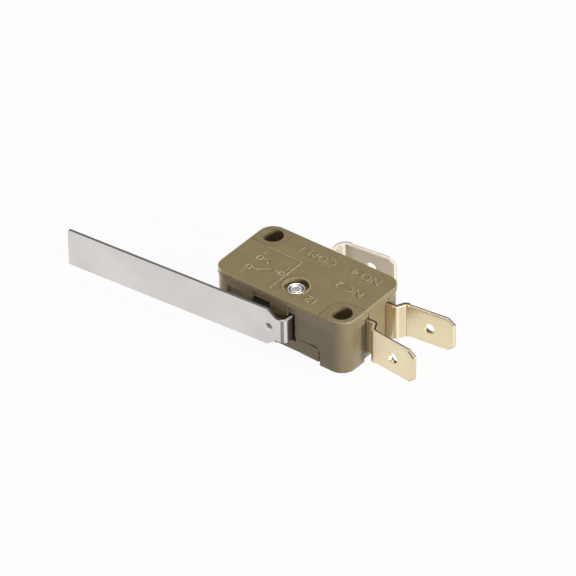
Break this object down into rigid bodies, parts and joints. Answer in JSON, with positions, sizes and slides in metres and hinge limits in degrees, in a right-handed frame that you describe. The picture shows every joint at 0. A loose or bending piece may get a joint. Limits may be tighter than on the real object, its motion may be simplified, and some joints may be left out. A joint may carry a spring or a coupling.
{
  "type": "door switch",
  "caption": "Miniature snap-action door switch: a moulded case with diagonal mounting holes, a long flat lever over a push plunger, blade terminals and an inner coil-spring snap mechanism.",
  "frame": {"origin": "axis of the mounting hole beside the end terminals, at the plane of the back pads", "axes": "+X towards the end terminals, +Y from the lever side to the common terminal's side, +Z out of the cover"},
  "size_m": [0.0664, 0.027, 0.0104],
  "materials": {
    "moulded_case": "moulded, fine matte",
    "moulded_cover": "moulded, fine matte",
    "plated_rivet": "plated, rolled",
    "terminal_metal": "tin-plated brass, stamped",
    "contact_silver": "silver-faced, smooth",
    "spring_copper": "rolled copper alloy strip",
    "lever_steel": "rolled stainless strip, satin",
    "plunger_plastic": "moulded, smooth",
    "spring_steel": "drawn wire"
  },
  "bodies": {
    "case": {"base_housing": "moulded_case", "cover": "moulded_cover", "case_rivet": "plated_rivet", "common_terminal": "terminal_metal", "normally_open_terminal": "terminal_metal", "normally_closed_terminal": "terminal_metal", "normally_open_contact": "contact_silver", "normally_closed_contact": "contact_silver"},
    "lever": {"lever": "lever_steel"},
    "plunger": {"plunger": "plunger_plastic"},
    "actuator": {"actuator_arm": "spring_copper", "coil_spring": "spring_steel"},
    "contact_carrier": {"contact_blade": "spring_copper", "moving_contact": "contact_silver"}
  },
  "joints": [
    {"name": "lever_pivot", "type": "hinge", "parent": "case", "child": "lever", "pos_m": [-0.00845, -0.002, 0.00515], "axis": [0, 0, -1], "range_deg": [0, 7.5], "stiffness_Nm_per_rad": 0.05, "springref_deg": -8.59},
    {"name": "plunger_slide", "type": "slide", "parent": "case", "child": "plunger", "axis": [0, 1, 0], "range_m": [0, 0.0009]},
    {"name": "actuator_pivot", "type": "hinge", "parent": "case", "child": "actuator", "pos_m": [-0.0227, 0.00061, 0.00515], "axis": [0, 0, 1], "range_deg": [0, 6.2], "deforming": ["coil_spring"]},
    {"name": "contact_pivot", "type": "hinge", "parent": "case", "child": "contact_carrier", "pos_m": [-0.0132, 0.00555, 0.00515], "axis": [0, 0, 1], "range_deg": [0, 5.5]}
  ],
  "couplings": [
    {"joint": "plunger_slide", "follows": "lever_pivot", "m_per_rad": 0.00615},
    {"joint": "actuator_pivot", "follows": "lever_pivot", "ratio": 0.8},
    {"joint": "contact_pivot", "follows": "lever_pivot", "ratio": 0.676}
  ]
}
